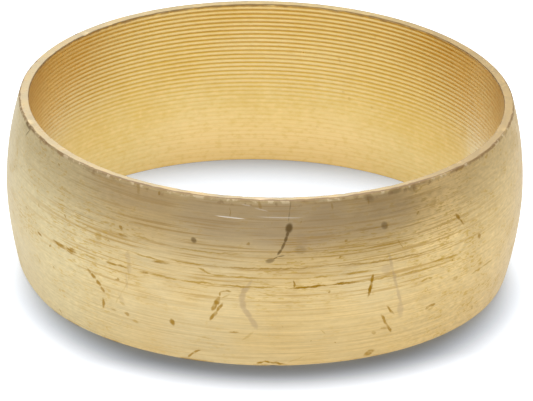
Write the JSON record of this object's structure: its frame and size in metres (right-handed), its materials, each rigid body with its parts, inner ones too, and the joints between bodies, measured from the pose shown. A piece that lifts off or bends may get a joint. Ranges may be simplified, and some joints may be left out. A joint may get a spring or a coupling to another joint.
{
  "type": "compression ring",
  "caption": "Turned brass compression ring with a crowned outside, narrow flat end faces and a plain bore that slides over a tube.",
  "frame": {"origin": "centre of the lower end face, on the ring's axis", "axes": "+Z along the bore's axis, up from the lower end face; the ring is round, so X and Y are free"},
  "size_m": [0.0308, 0.0308, 0.0105],
  "materials": {
    "brass": "turned, fine lathe lines round the outside and feed marks in the bore, lightly scratched and stained"
  },
  "bodies": {
    "root": {"compression_ring": "brass"}
  },
  "joints": []
}
